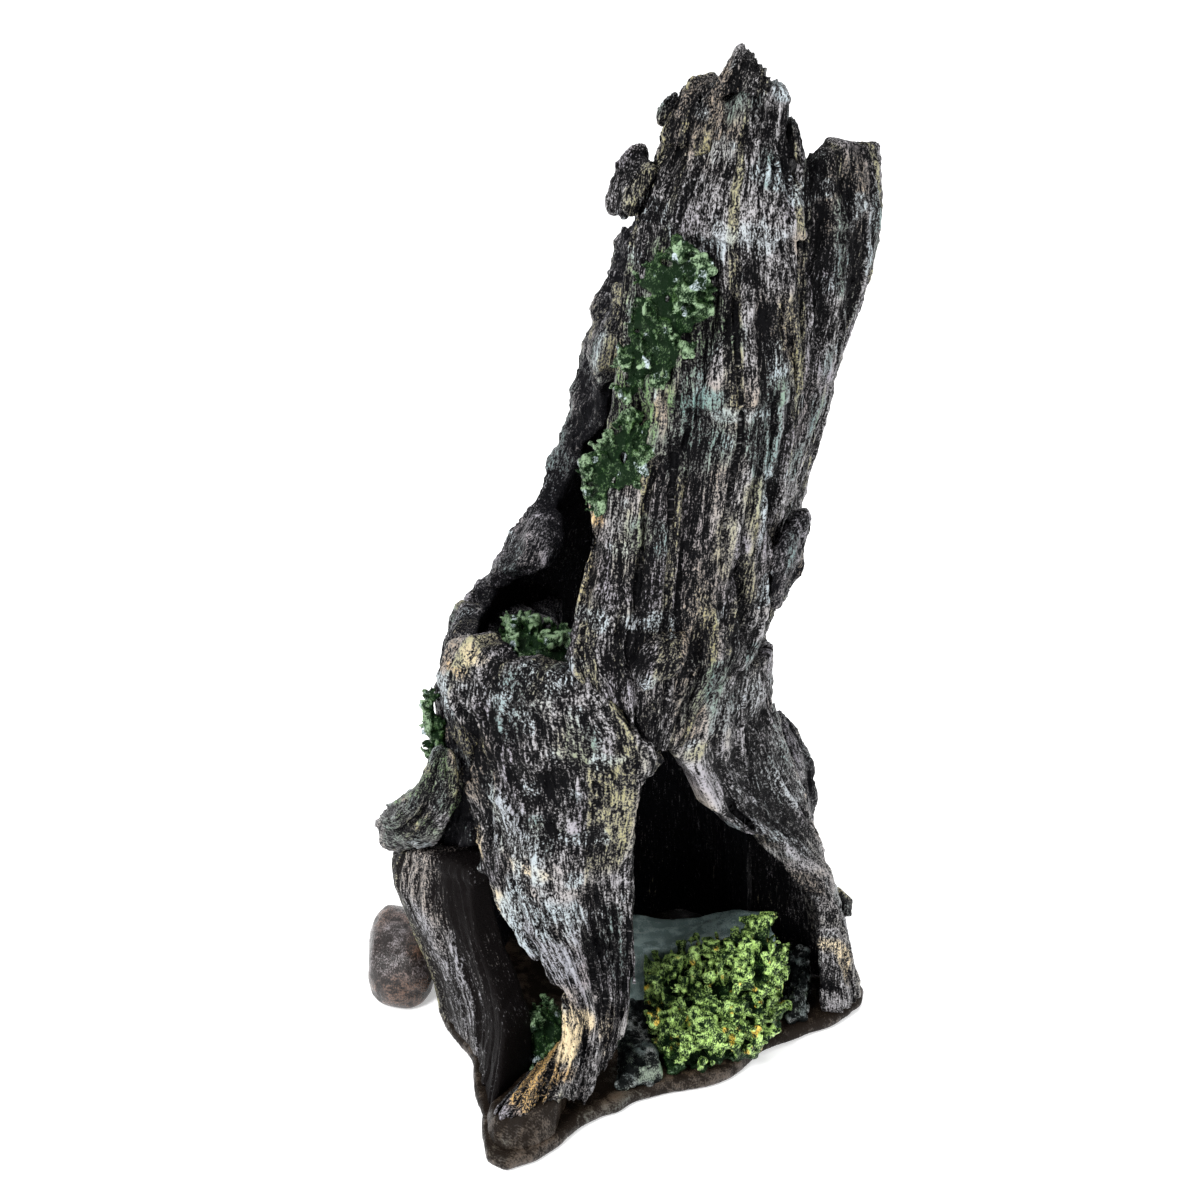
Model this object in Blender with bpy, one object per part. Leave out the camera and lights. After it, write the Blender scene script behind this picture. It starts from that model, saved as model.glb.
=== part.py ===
"""Resin cave ornament: a broken, hollow, leaning tree trunk standing on spread roots.

The trunk is one rule, trunk_point(angle, height, depth), that gives a place on the bark from the
angle round the trunk, the height and the depth under the bark. Every slab of bark, knot and moss pad
is a flat shape bent round that rule, so neighbouring pieces meet along shared seams with a small gap.
Angles are in degrees: 0 is the front (-Y), 90 is the right (+X), 180 the back. Lengths in the tables
are millimetres, and the model is built in metres.
"""

import math

import bmesh
import bpy
from mathutils import Vector, noise

MM = 0.001
GAP = 0.45                 # clearance between two glued pieces
BASE_HEIGHT = 3.0          # thickness of the base plate
BASE_RIM = 1.4             # how far the base stands out round the foot of the roots
# Where the base is wider, under the outer roots, or drawn in, at the doorway: (angle, reach, spread).
BASE_LOBES = ((20, -3.8, 21), (60, -1.2, 14), (82, -2.0, 9), (130, 8.5, 11), (171, 9.5, 12),
              (214, 10, 12), (285, -1.2, 28), (334, -1.0, 12))
WALL = 4.6                 # thickness of the bark walls
LEDGE_TOP = 89.0           # floor of the planting pocket
FLOOR = BASE_HEIGHT + 0.4  # where everything that stands on the base begins

# The leaning, tapering trunk, by height.
CENTRE_Y = 5.0
CENTRE_X = ((0, 0), (60, -1), (80, -3), (92, -1.5), (105, 4.5), (120, 9.5), (150, 17), (180, 23.5),
            (215, 29))
RADIUS = ((0, 34), (40, 34), (66, 33), (90, 32), (105, 29.5), (120, 26.8), (150, 26), (180, 25.8),
          (195, 22.8), (215, 19.5))
# Roots that flare out at the foot: (angle, reach, angular spread, height, sharpness).
FLARES = ((-24, 24.2, 12, 26, 1.0), (92, 20, 18, 50, 1.6), (-88, 4, 25, 80, 2.0), (-43, 6.2, 10, 15, 1.0),
          (150, 12, 17, 30, 1.0), (-150, 12, 17, 30, 1.0))
PAD_BELLY = 0.25           # how far a pad's underside bulges towards the bark
BLOCK_WAVE = 11.0          # spacing of the lumps on a rough block
BLOCK_SINK = 0.6           # how much of its roughness a block loses, so that it stays inside its corners
BLOCK_LIFT = 1.0           # how far a block's sides stay above its flat underside
BARK_SWELL = 1.3           # slow rise and fall of the bark
BARK_WAVE = 37.0           # spacing of that rise and fall up the trunk
FOOT_CALM = 20.0           # height below which it fades out, so that the foot sits level on the base
PAD_UNEVEN = 0.28          # how uneven a pad's outline is, as a share of its size

# Seams and edges. An edge up the trunk is (height, angle), one round the trunk is (angle, height).
DOOR_LEFT = ((3, -12), (5, -9), (8.5, -5), (15, 0), (27, 5), (46, 6.5), (63, 7), (72, 8.5), (77, 11),
             (80, 15), (82.5, 21))
DOOR_RIGHT = ((3, 83), (12, 83), (21, 85.5), (26, 90), (31, 87), (41, 80), (52.5, 68), (59, 53),
              (66, 41), (75, 34), (80, 29), (84, 23.5))
BUTTRESS_LEFT = ((3, -31), (6, -30.5), (9.5, -27.5), (13, -23.5), (18, -17), (28, -16.5), (34, -19),
                 (40, -26), (43.5, -36), (48, -51), (57, -56), (66, -57), (75, -51), (81, -53), (86, -66),
                 (90, -76), (100, -79))
TOE_TOP = ((-33, 5.0), (-26, 7.2), (-22, 8.5), (-15, 9.4))
STUMP_TOP = ((-80, 94), (-75, 95.5), (-65, 98.8), (-50, 97.5), (-42, 99.5), (-30, 98.5), (-24, 102),
             (-13, 98.5), (2, 93), (15, 85.5), (21, 82.5))
ARCH_TOP = ((21, 83.0), (26, 84.5), (30, 91), (40, 95.5), (59, 95), (75, 92), (116, 88))
CLEFT = ((86, 62), (96, 59), (110, 50), (123, 44), (138, 40), (153, 34), (173, 22), (182, 15), (200, 11),
         (212, 10))
SLAB_LEFT = ((82, -27), (104, -27), (111, -32), (120, -34), (128, -36), (133, -44), (146, -43),
             (155, -45), (170, -54), (179, -58), (193, -65), (210, -63))
SLAB_TOP = ((-66, 197), (-60, 204.5), (-50, 208.5), (-40, 209), (-27, 207.5), (-15, 209), (0, 208.5),
            (7, 206), (12, 200))
RIGHT_SLAB_TOP = ((9, 199), (26, 197), (40, 199), (55, 197.5), (68, 196), (80, 194.5), (92, 191),
                  (105, 184), (116, 178))
RIGHT_INSET = 1.8          # how far the right slab lies behind the front one
RIGHT_SEAM = 114.0         # angle where the right pieces meet the rear wall
LEFT_SEAM = 246.0          # angle where the rear wall meets the left pieces, under the shoulder
REAR_LEFT = ((89, 246), (97, 246), (100, 249), (103, 258), (107, 268), (111, 270), (114, 266),
             (118, 256), (124, 247), (129, 254), (134, 266), (140, 278), (150, 285), (160, 284),
             (166, 272), (174, 259), (182, 244))
REAR_TOP = ((114, 176), (128, 181), (145, 179), (160, 186), (178, 183), (192, 187), (210, 184),
            (225, 181), (238, 174), (250, 169), (270, 167), (290, 165))
# Where the rear wall begins to run under the front slab: the angle, the turn it takes and its depth.
REAR_TUCK = (248, 14, 4.5)
SHOULDER_TOP = ((246, 88), (254, 94.5), (262, 97), (272, 96.5), (284, 93.5), (308, 82))
SHOULDER_FOOT = ((246, 40.2), (262, 40.2), (270, 40.8), (277, 44.3), (285, 48.4), (293, 51.5), (305, 56))
ROOT_WALL_TOP = ((246, 39.5), (262, 39.5), (270, 40), (277, 43.5), (285, 47.5), (300, 49), (306, 49))
ROOT_WALL_EDGE = ((3, 326.5), (9, 327.5), (17, 323), (23, 317), (32, 308), (43, 305), (50, 302))
# How the left root bulges: reach, height and its spread, angle and its spreads behind and in front.
ROOT_WALL_BULGE = (10.5, 38, 23, 266, 14, 27)
ROOT_WALL_INSET = 0.7
TOE_INSET = 0.3
TOE_SIDES = (-32.6, -16)   # angles between which the toe block lies
SHOULDER_GAP = 3.6         # the shadowed cleft between the left shoulder and the buttress


def smooth_curve(stations, t):
    """Value at t of the smooth curve through (t, value) stations, held level past its ends."""
    places = [station[0] for station in stations]
    values = [station[1] for station in stations]
    if t <= places[0]:
        return values[0]
    if t >= places[-1]:
        return values[-1]
    low = max(k for k in range(len(places) - 1) if places[k] <= t)

    def slope(k):
        before, after = max(k - 1, 0), min(k + 1, len(places) - 1)
        return (values[after] - values[before]) / (places[after] - places[before])

    span = places[low + 1] - places[low]
    s = (t - places[low]) / span
    return ((2 * s**3 - 3 * s**2 + 1) * values[low] + (s**3 - 2 * s**2 + s) * span * slope(low)
            + (3 * s**2 - 2 * s**3) * values[low + 1] + (s**3 - s**2) * span * slope(low + 1))


def flare_reach(angle, height):
    """How far the roots push the bark out here."""
    total = 0.0
    for centre, reach, spread, rise, sharpness in FLARES:
        turn = (angle - centre + 180) % 360 - 180
        total += reach * math.exp(-(max(height, 0) / rise)**sharpness - (turn / spread)**2)
    return total


def trunk_radius(angle, height):
    around = math.radians(angle)
    wave = noise.noise(Vector((2 * math.cos(around), 2 * math.sin(around), height / BARK_WAVE)))
    fade = min(1.0, height / FOOT_CALM)
    return smooth_curve(RADIUS, height) + flare_reach(angle, height) + BARK_SWELL * fade * wave


def trunk_point(angle, height, depth=0.0):
    """A point at a depth under the bark (above it if depth is negative), in metres."""
    radius = trunk_radius(angle, height) - depth
    around = math.radians(angle)
    return Vector((smooth_curve(CENTRE_X, height) + radius * math.sin(around),
                   CENTRE_Y - radius * math.cos(around), height)) * MM


def flush(angle, height):
    """The inset of a slab whose outside is the bark itself."""
    return 0.0


def right_inset(angle, height):
    return RIGHT_INSET


def rear_inset(angle, height):
    """The rear wall tucks in where it runs under the front slab's left edge."""
    start, turn, depth = REAR_TUCK
    share = min(max((angle - start) / turn, 0.0), 1.0)
    return depth * share * share


def root_wall_inset(angle, height):
    """The left root bulges out on its outer side, most of all under the twisted root."""
    reach, middle, rise, side, behind, ahead = ROOT_WALL_BULGE
    spread = ahead if angle > side else behind
    bulge = reach * math.exp(-((height - middle) / rise)**2 - ((angle - side) / spread)**2)
    return ROOT_WALL_INSET - bulge


def toe_inset(angle, height):
    return TOE_INSET


def clear_scene():
    for old in list(bpy.data.objects):
        bpy.data.objects.remove(old, do_unlink=True)


def paint(name, colour, roughness):
    finish = bpy.data.materials.new(name)
    finish.use_nodes = True
    shader = finish.node_tree.nodes["Principled BSDF"]
    shader.inputs["Base Color"].default_value = (*colour, 1.0)
    shader.inputs["Roughness"].default_value = roughness
    shader.inputs["Metallic"].default_value = 0.0
    return finish


def add_object(name, data, finish):
    piece = bpy.data.objects.new(name, data)
    data.materials.append(finish)
    PARTS.objects.link(piece)
    piece.parent = ORNAMENT
    return piece


def finish_mesh(name, sculpt, finish):
    """Turn a bmesh into a smooth-shaded object, with its faces pointing out."""
    if sculpt.calc_volume(signed=True) < 0:
        bmesh.ops.reverse_faces(sculpt, faces=sculpt.faces)
    mesh = bpy.data.meshes.new(name)
    sculpt.to_mesh(mesh)
    sculpt.free()
    mesh.shade_smooth()
    mesh.set_sharp_from_angle(angle=math.radians(50))
    return add_object(name, mesh, finish)


def slab_sheet(columns, rows):
    """A flat slab over the unit square: x across, y up, z 0 on the outside and 1 on the inside."""
    sculpt = bmesh.new()
    bmesh.ops.create_grid(sculpt, x_segments=columns, y_segments=rows, size=0.5)
    bmesh.ops.translate(sculpt, verts=sculpt.verts, vec=(0.5, 0.5, 0))
    inside = bmesh.ops.extrude_face_region(sculpt, geom=sculpt.faces[:])
    inside_verts = [item for item in inside["geom"] if isinstance(item, bmesh.types.BMVert)]
    bmesh.ops.translate(sculpt, verts=inside_verts, vec=(0, 0, 1))
    return sculpt


def edge_height(edge, left, right, across):
    """Height at which the column at this share of the width reaches an edge round the trunk."""
    height = edge[0][1]
    for _ in range(24):
        angle = left(height) + (right(height) - left(height)) * across
        height += 0.5 * (smooth_curve(edge, angle) - height)
    return height


def bark_wall(name, left, right, foot, top, grid, finish, wall=WALL, heel=0.0, inset=flush):
    """A slab of bark between two edges up the trunk and two edges round it.

    heel is the share of a root's flare or bulge that is solid behind the bark.
    """
    sculpt = slab_sheet(*grid)
    edges = {}
    for vert in sculpt.verts:
        across, up, inner = vert.co
        key = round(across, 4)
        if key not in edges:
            edges[key] = (edge_height(foot, left, right, across), edge_height(top, left, right, across))
        low, high = edges[key]
        height = low + (high - low) * up
        angle = left(height) + (right(height) - left(height)) * across
        sunk = inset(angle, height)
        thickness = wall + heel * (flare_reach(angle, height) + max(-sunk, 0.0))
        vert.co = trunk_point(angle, height, sunk + inner * thickness)
    return finish_mesh(name, sculpt, finish)


def seam(stations, side, gap=GAP):
    """An edge up the trunk, moved off its seam by half the gap to one side (+1 or -1)."""
    def angle_at(height):
        angle = smooth_curve(stations, height)
        return angle + side * math.degrees(gap / 2 / trunk_radius(angle, height))
    return angle_at


def level(angle_from, angle_to, height):
    return ((angle_from, height), (angle_to, height))


def raised(stations, rise):
    return tuple((angle, height + rise) for angle, height in stations)


def turned(stations, turn):
    """The same edge, with its angles counted a full turn on."""
    return tuple((height, angle + turn) for height, angle in stations)


def bark_pad(name, angle, height, width, tall, thick, finish, lift=0.8, seed=0, detail=2, lean=0.0):
    """A dome of moss or a knot on the bark, nearly flat underneath, with an uneven outline."""
    sculpt = bmesh.new()
    bmesh.ops.create_icosphere(sculpt, subdivisions=detail, radius=1.0)
    radius = trunk_radius(angle, height)
    for vert in sculpt.verts:
        swell = 1.0 + PAD_UNEVEN * noise.noise(vert.co * 1.7 + Vector((seed, 0, 0)))
        across = vert.co.x * swell * width / 2
        up = vert.co.y * swell * tall / 2
        out = vert.co.z * (thick * swell if vert.co.z > 0 else PAD_BELLY)
        around = angle + math.degrees((across + lean * up) / radius)
        vert.co = trunk_point(around, height + up, -(lift + out))
    return finish_mesh(name, sculpt, finish)


def stone(name, centre, size, finish, seed=0, rough=0.1, floor=FLOOR, boxy=2.0):
    """A stone with a flat underside, its centre and size in millimetres. It is round if boxy is 2."""
    sculpt = bmesh.new()
    bmesh.ops.create_icosphere(sculpt, subdivisions=3, radius=1.0)
    for vert in sculpt.verts:
        direction = vert.co / sum(abs(part)**boxy for part in vert.co)**(1 / boxy)
        swell = 1.0 + rough * noise.noise(direction * 1.3 + Vector((seed, seed, 0)))
        x, y, z = (direction[k] * swell * size[k] / 2 for k in range(3))
        vert.co = Vector((centre[0] + x, centre[1] + y, max(centre[2] + z, floor))) * MM
    return finish_mesh(name, sculpt, finish)


def root(name, path, finish, rings=16):
    """A root that hugs the trunk. Its path is (angle, height, distance off the bark, thickness)."""
    line = bpy.data.curves.new(name, "CURVE")
    line.dimensions = "3D"
    line.bevel_depth = MM
    line.bevel_resolution = 2
    line.use_fill_caps = True
    spline = line.splines.new("POLY")
    spline.points.add(rings - 1)
    steps = len(path) - 1
    tables = [tuple((k / steps, value) for k, value in enumerate(column)) for column in zip(*path)]
    for k, point in enumerate(spline.points):
        angle, height, off, thickness = (smooth_curve(table, k / (rings - 1)) for table in tables)
        point.co = (*trunk_point(angle, height, -off - thickness / 2), 1.0)
        point.radius = thickness / 2
    if path[-1][1] == FLOOR:
        spline.points[-1].co = (*spline.points[-2].co.xy, FLOOR * MM, 1.0)
    return add_object(name, line, finish)


def flat_plate(name, points, low, high, bevel, finish):
    """A flat piece from an outline seen from above."""
    line = bpy.data.curves.new(name, "CURVE")
    line.dimensions = "2D"
    line.fill_mode = "BOTH"
    line.extrude = (high - low) / 2 * MM - bevel * MM
    line.bevel_depth = bevel * MM
    line.bevel_resolution = 1
    line.offset = -bevel * MM
    spline = line.splines.new("POLY")
    spline.points.add(len(points) - 1)
    spline.use_cyclic_u = True
    for point, place in zip(spline.points, points):
        point.co = (place[0], place[1], 0, 1)
    plate = add_object(name, line, finish)
    plate.location.z = (low + high) / 2 * MM


def block(name, corners, cuts, rough, finish, seed=0):
    """A rough block from its eight corners, bottom four and then top four, in millimetres."""
    sculpt = bmesh.new()
    made = bmesh.ops.create_cube(sculpt, size=2.0)
    places = {(-1, -1): 0, (1, -1): 1, (1, 1): 2, (-1, 1): 3}
    for vert in made["verts"]:
        index = places[(round(vert.co.x), round(vert.co.y))] + (4 if vert.co.z > 0 else 0)
        vert.co = Vector(corners[index]) * MM
    bmesh.ops.subdivide_edges(sculpt, edges=sculpt.edges[:], cuts=cuts, use_grid_fill=True)
    bmesh.ops.recalc_face_normals(sculpt, faces=sculpt.faces)
    sculpt.normal_update()
    lowest = min(corner[2] for corner in corners) * MM
    shifts = {}
    for vert in sculpt.verts:
        lump = noise.noise(vert.co / (BLOCK_WAVE * MM) + Vector((seed, 0, 0)))
        shifts[vert] = vert.normal * rough * MM * (lump - BLOCK_SINK)
    for vert, shift in shifts.items():
        if vert.co.z > lowest + 1e-6:
            vert.co = vert.co + shift
            vert.co.z = max(vert.co.z, lowest + BLOCK_LIFT * MM)
    return finish_mesh(name, sculpt, finish)


def build_walls():
    base = level(-180, 360, FLOOR)
    bark_wall("left_buttress", seam(BUTTRESS_LEFT, 1), seam(DOOR_LEFT, -1),
              raised(TOE_TOP, GAP) + ((-12, 7), (-9, FLOOR), (6, FLOOR)), raised(STUMP_TOP, -GAP),
              (10, 18), BARK, heel=0.5)
    bark_wall("front_trunk_slab", seam(SLAB_LEFT, 1), seam(CLEFT, -1),
              raised(STUMP_TOP[6:] + ARCH_TOP[1:], GAP), SLAB_TOP, (10, 20), BARK)
    bark_wall("right_trunk_slab", seam(CLEFT, 1), seam(level(0, 220, RIGHT_SEAM), -1),
              raised(ARCH_TOP, GAP / 2), RIGHT_SLAB_TOP, (9, 18), BARK, inset=right_inset)
    bark_wall("right_buttress", seam(DOOR_RIGHT, 1), seam(level(0, 220, RIGHT_SEAM), -1), base,
              raised(ARCH_TOP, -GAP / 2), (8, 16), BARK)
    bark_wall("rear_trunk_wall", seam(level(0, 220, RIGHT_SEAM), 1), seam(REAR_LEFT, -1), base, REAR_TOP,
              (18, 28), DARK_BARK, heel=0.3, inset=rear_inset)
    bark_wall("left_root_wall", seam(level(0, 220, LEFT_SEAM), 1), seam(ROOT_WALL_EDGE, -1), base,
              raised(ROOT_WALL_TOP, -GAP / 2), (12, 10), SMOOTH_ROOT, heel=0.6, inset=root_wall_inset)
    bark_wall("left_shoulder_wall", seam(level(0, 220, LEFT_SEAM), 1),
              seam(turned(BUTTRESS_LEFT, 360), -1, gap=SHOULDER_GAP), raised(SHOULDER_FOOT, GAP / 2),
              SHOULDER_TOP, (7, 7), DARK_BARK)
    toe_left, toe_right = (seam(level(0, 20, angle), side) for angle, side in zip(TOE_SIDES, (1, -1)))
    bark_wall("toe_block", toe_left, toe_right, base, TOE_TOP, (6, 2), SMOOTH_ROOT, wall=5, heel=0.55,
              inset=toe_inset)


def base_rim(angle):
    """How far the base reaches past the bark at this angle."""
    lobes = (reach * math.exp(-((angle - centre) / spread)**2) for centre, reach, spread in BASE_LOBES)
    return BASE_RIM + sum(lobes)


def build_base():
    steps = 80
    angles = [360 - 360 * k / steps for k in range(steps)]
    points = [trunk_point(angle, 0, -base_rim(angle)).xy for angle in angles]
    flat_plate("base_plate", points, 0, BASE_HEIGHT, 0.8, SMOOTH_ROOT)


def build_ledge():
    """The floor of the planting pocket, inside the walls, closed by a straight front edge."""
    steps = 16
    angles = [340 - 138 * k / steps for k in range(steps + 1)]
    points = [trunk_point(angle, LEDGE_TOP - 1, WALL + 1.3).xy for angle in angles]
    flat_plate("planting_ledge", points, LEDGE_TOP - 3.5, LEDGE_TOP, 0.5, DARK_BARK)


def build_roots():
    root("twisted_root",
         ((301, 76, 0.9, 4), (299.5, 70, 1.0, 6.6), (296, 64.5, 1.0, 8.2), (289, 58.3, 1.2, 9),
          (280, 51.7, 1.8, 9.4), (270, 46.7, 2.6, 9.4), (260, 45.5, 1.8, 8), (251, 45.2, 1.2, 5)),
         BARK, rings=22)
    root("rear_right_root",
         ((112, 66, 0.8, 4), (114, 57, 1.4, 8), (116, 47, 2.6, 10.5), (119, 35, 2.4, 10),
          (125, 18, 1.0, 8), (130, 8, 0.8, 7), (130, FLOOR, 0.8, 7)), DARK_BARK)
    root("rear_left_root",
         ((234, 88, 0.8, 4), (229, 74, 1.0, 7), (222, 58, 1.0, 9), (217, 34, 1.0, 9), (214, 12, 1.0, 9),
          (214, FLOOR, 1.0, 9)), DARK_BARK)
    root("rear_centre_root",
         ((188, 128, 0.8, 4), (184, 104, 1.0, 7), (179, 76, 1.0, 8), (175, 46, 1.0, 9), (172, 16, 1.0, 9),
          (171, FLOOR, 1.0, 9)), DARK_BARK)


def build_knots():
    bark_pad("hood_knot", 6, 104.5, 11, 8, 3.6, BARK, seed=3)
    bark_pad("right_burl", 60, 117, 10, 17, 0.8, DARK_BARK, seed=7)
    bark_pad("arch_spur", 97, 24, 8, 7, 3.2, BARK, seed=11, detail=1)
    bark_pad("left_edge_knob", -67, 190, 9, 12, 2.8, BARK, seed=5)
    bark_pad("crown_knob", -44, 203, 12, 10, 1.5, BARK, seed=13)
    bark_pad("rear_knot", 205, 142, 15, 19, 4.0, DARK_BARK, seed=17)


def build_crown_spike():
    """A pointed lump standing on the front slab's broken top."""
    foot = 209.4
    block("crown_spike", ((17, -16.5, foot), (27, -16.5, foot), (26.5, -10.2, foot), (17.5, -10.2, foot),
                          (20.3, -14.2, 214.8), (23.9, -14.2, 215.2), (23.6, -11.2, 215.0),
                          (20.6, -11.2, 214.8)), 2, 0.7, BARK, seed=2)


def build_stones():
    block("doorstep_rock", ((1.5, 0, FLOOR), (35.8, 0, FLOOR), (35, 15, FLOOR), (2.5, 15, FLOOR),
                            (2, 0.6, 18.5), (35, 2, 23), (34, 13, 21.5), (3, 14, 19.5)), 3, 1.6,
          GREY_STONE, seed=4)
    stone("side_stone", (-47.6, 15.5, 6.2), (13.4, 22, 15.5), BROWN_STONE, seed=6, rough=0.12, floor=0,
          boxy=3.2)


def build_gravel():
    """Low banks of grit on both sides of the doorway's moss."""
    block("gravel_left", ((0.2, -27.2, FLOOR), (8.4, -24.4, FLOOR), (8.6, -2.6, FLOOR), (1, -2.6, FLOOR),
                          (1.4, -25.4, 7), (8, -23, 7), (8.2, -4, 9), (1.6, -4, 8.5)), 3, 1.4,
          GREY_STONE, seed=31)
    block("gravel_right", ((36.9, -5, FLOOR), (41.2, -3.6, FLOOR), (42.6, 12, FLOOR), (37.2, 12, FLOOR),
                           (37.4, -3.4, 8.5), (40.8, -2.6, 9), (41.8, 11, 13.5), (37.8, 11, 13)), 3, 1.2,
          GREY_STONE, seed=33)


def build_moss():
    block("doorway_moss", ((10.4, -23.6, FLOOR), (28, -16.5, FLOOR), (34, -2.2, FLOOR),
                           (9.6, -2.2, FLOOR), (10.5, -10, 15.5), (30, -9.5, 17), (32, -1.4, 25),
                           (9.8, -1.4, 16.5)), 4, 1.5, MOSS, seed=9)
    bark_pad("upper_trunk_moss", -31, 169, 15, 34, 2.2, MOSS, seed=21, lean=0.1)
    bark_pad("lower_trunk_moss", -35, 140, 11, 22, 2.2, MOSS, seed=23, lean=0.3)
    bark_pad("shoulder_moss", 284, 76, 10, 17, 0.8, MOSS, seed=25)
    stone("ledge_moss", (-17, 3, LEDGE_TOP + 2), (17, 15, 8), MOSS, seed=27, rough=0.3,
          floor=LEDGE_TOP + 0.4)
    stone("cave_moss", (-14.5, -17, 7), (8.5, 13.5, 15), MOSS, seed=29, rough=0.3)


def main():
    build_base()
    build_walls()
    build_ledge()
    build_roots()
    build_knots()
    build_crown_spike()
    build_stones()
    build_gravel()
    build_moss()


clear_scene()
PARTS = bpy.data.collections.new("resin_cave_ornament")
bpy.context.scene.collection.children.link(PARTS)
ORNAMENT = bpy.data.objects.new("ornament", None)
PARTS.objects.link(ORNAMENT)

BARK = paint("dry_brushed_bark", (0.075, 0.07, 0.072), 0.48)
DARK_BARK = paint("dark_bark", (0.025, 0.024, 0.026), 0.42)
SMOOTH_ROOT = paint("smooth_brown_root", (0.06, 0.048, 0.04), 0.4)
GREY_STONE = paint("grey_green_stone", (0.09, 0.11, 0.10), 0.5)
BROWN_STONE = paint("brown_stone", (0.09, 0.06, 0.05), 0.38)
MOSS = paint("moss", (0.10, 0.22, 0.03), 0.55)
main()
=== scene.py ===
"""Resin cave ornament: the looks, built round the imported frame.

Every piece starts as the solid of its own CAD node, turned into a signed distance field. Bark, moss,
gravel and stone relief is added to that field, a fine mesh is drawn from it, and a second, finer relief
moves its points. Relief and paint are worked out together, so the dry brushing sits on the ridges.
Lengths are millimetres until a mesh is made, and colours are linear.
"""

import itertools
import math
from collections import namedtuple

import bpy
import numpy as np
import openvdb
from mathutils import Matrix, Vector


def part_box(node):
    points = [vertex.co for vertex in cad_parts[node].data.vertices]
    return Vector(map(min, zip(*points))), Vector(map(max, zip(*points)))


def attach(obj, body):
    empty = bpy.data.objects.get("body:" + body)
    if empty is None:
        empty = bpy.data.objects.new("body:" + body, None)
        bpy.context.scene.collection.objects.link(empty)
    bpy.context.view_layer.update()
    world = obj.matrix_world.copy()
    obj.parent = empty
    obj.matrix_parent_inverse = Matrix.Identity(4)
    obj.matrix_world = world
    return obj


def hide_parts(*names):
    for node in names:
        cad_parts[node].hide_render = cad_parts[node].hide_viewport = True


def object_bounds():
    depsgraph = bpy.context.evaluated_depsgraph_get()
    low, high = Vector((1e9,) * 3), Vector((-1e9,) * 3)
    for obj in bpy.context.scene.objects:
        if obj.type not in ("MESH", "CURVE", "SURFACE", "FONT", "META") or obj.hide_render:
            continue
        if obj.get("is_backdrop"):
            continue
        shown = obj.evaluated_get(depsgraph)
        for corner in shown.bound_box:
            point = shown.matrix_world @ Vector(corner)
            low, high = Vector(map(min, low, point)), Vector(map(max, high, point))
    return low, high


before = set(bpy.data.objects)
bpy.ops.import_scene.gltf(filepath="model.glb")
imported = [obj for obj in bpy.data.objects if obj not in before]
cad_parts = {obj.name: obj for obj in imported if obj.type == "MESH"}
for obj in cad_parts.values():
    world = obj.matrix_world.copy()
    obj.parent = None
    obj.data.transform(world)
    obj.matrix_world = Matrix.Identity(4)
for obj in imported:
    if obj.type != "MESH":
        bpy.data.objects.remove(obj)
CAD_BOX = [list(corner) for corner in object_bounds()]

MM = 0.001
GROUND = CAD_BOX[0][2] / MM
LATTICE_SIZE = 64
LATTICE = np.random.default_rng(11).uniform(-1, 1, (LATTICE_SIZE,) * 3).astype(np.float32)

# The trunk's leaning centre line: centre x by height, and its one centre y.
AXIS_HEIGHTS = (0, 60, 80, 92, 105, 120, 150, 180, 215)
AXIS_X = (0, -1, -2, 0.5, 4.0, 8.8, 17, 23.5, 29)
AXIS_Y = 5.0
GRAIN_RADIUS = 28.0        # turns an angle round the trunk into a distance across the grain
ROOT_RADIUS = 4.5          # the same for a root
ROOT_LENGTHENING = 1.3     # a root's length for each unit of its height
WALL_STEP, WALL_REACH = 4.0, 9.0       # how often a wall's edges are read, and from how far up and down
ROOT_STEP, ROOT_REACH = 3.0, 5.0       # the same for a root's centre line

# Where a point is: its place, its distances across, along and through the grain, its share of the piece's
# width and height, how crusty the bark is there, and how far it stands out from the CAD solid.
Where = namedtuple("Where", "x y z across along through share up crust stand", defaults=(0.0, 0.0))


# ---------------------------------------------------------------- noise

def noise(x, y, z, seed):
    """Smooth noise in -1..1, with one bump per unit."""
    places = [x + 13.7 * seed, y + 5.3 * seed, z + 9.1 * seed]
    cells, blends = [], []
    for place in places:
        cell = np.floor(place)
        part = (place - cell).astype(np.float32)
        cells.append(cell.astype(np.int64))
        blends.append(part * part * part * (part * (part * 6 - 15) + 10))
    total = 0.0
    for corner in itertools.product((0, 1), repeat=3):
        ends = tuple((cell + side) % LATTICE_SIZE for cell, side in zip(cells, corner))
        weights = [blend if side else 1 - blend for blend, side in zip(blends, corner)]
        total = total + LATTICE[ends] * (weights[0] * weights[1] * weights[2])
    return total


def space_noise(at, size, seed, tall=None):
    """Noise with bumps of this size, which are taller or flatter than wide if tall is given."""
    return noise(at.x / size, at.y / size, at.z / (tall or size), seed)


def grain_noise(at, wide, long, seed):
    """Noise on the piece's surface, with bumps this wide across the grain and this long along it."""
    return noise(at.across / wide, at.along / long, np.zeros_like(at.across), seed)


def swaying(at, sway, wide, long, seed):
    """The same points in a grain that wanders from side to side."""
    return at._replace(across=at.across + sway * grain_noise(at, wide, long, seed))


def ridged(value):
    """Turns noise into sharp crests: 1 on a crest, about -1 between them."""
    return 1.0 - 3.2 * np.abs(value)


def smoothstep(low, high, value):
    share = np.clip((value - low) / (high - low), 0.0, 1.0)
    return share * share * (3 - 2 * share)


def terrace(value, edge=0.12):
    """Flat treads with short risers, one step per unit."""
    tread = np.floor(value)
    return tread + smoothstep(1.0 - edge, 1.0, value - tread)


# ---------------------------------------------------------------- solids to fine meshes

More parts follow.
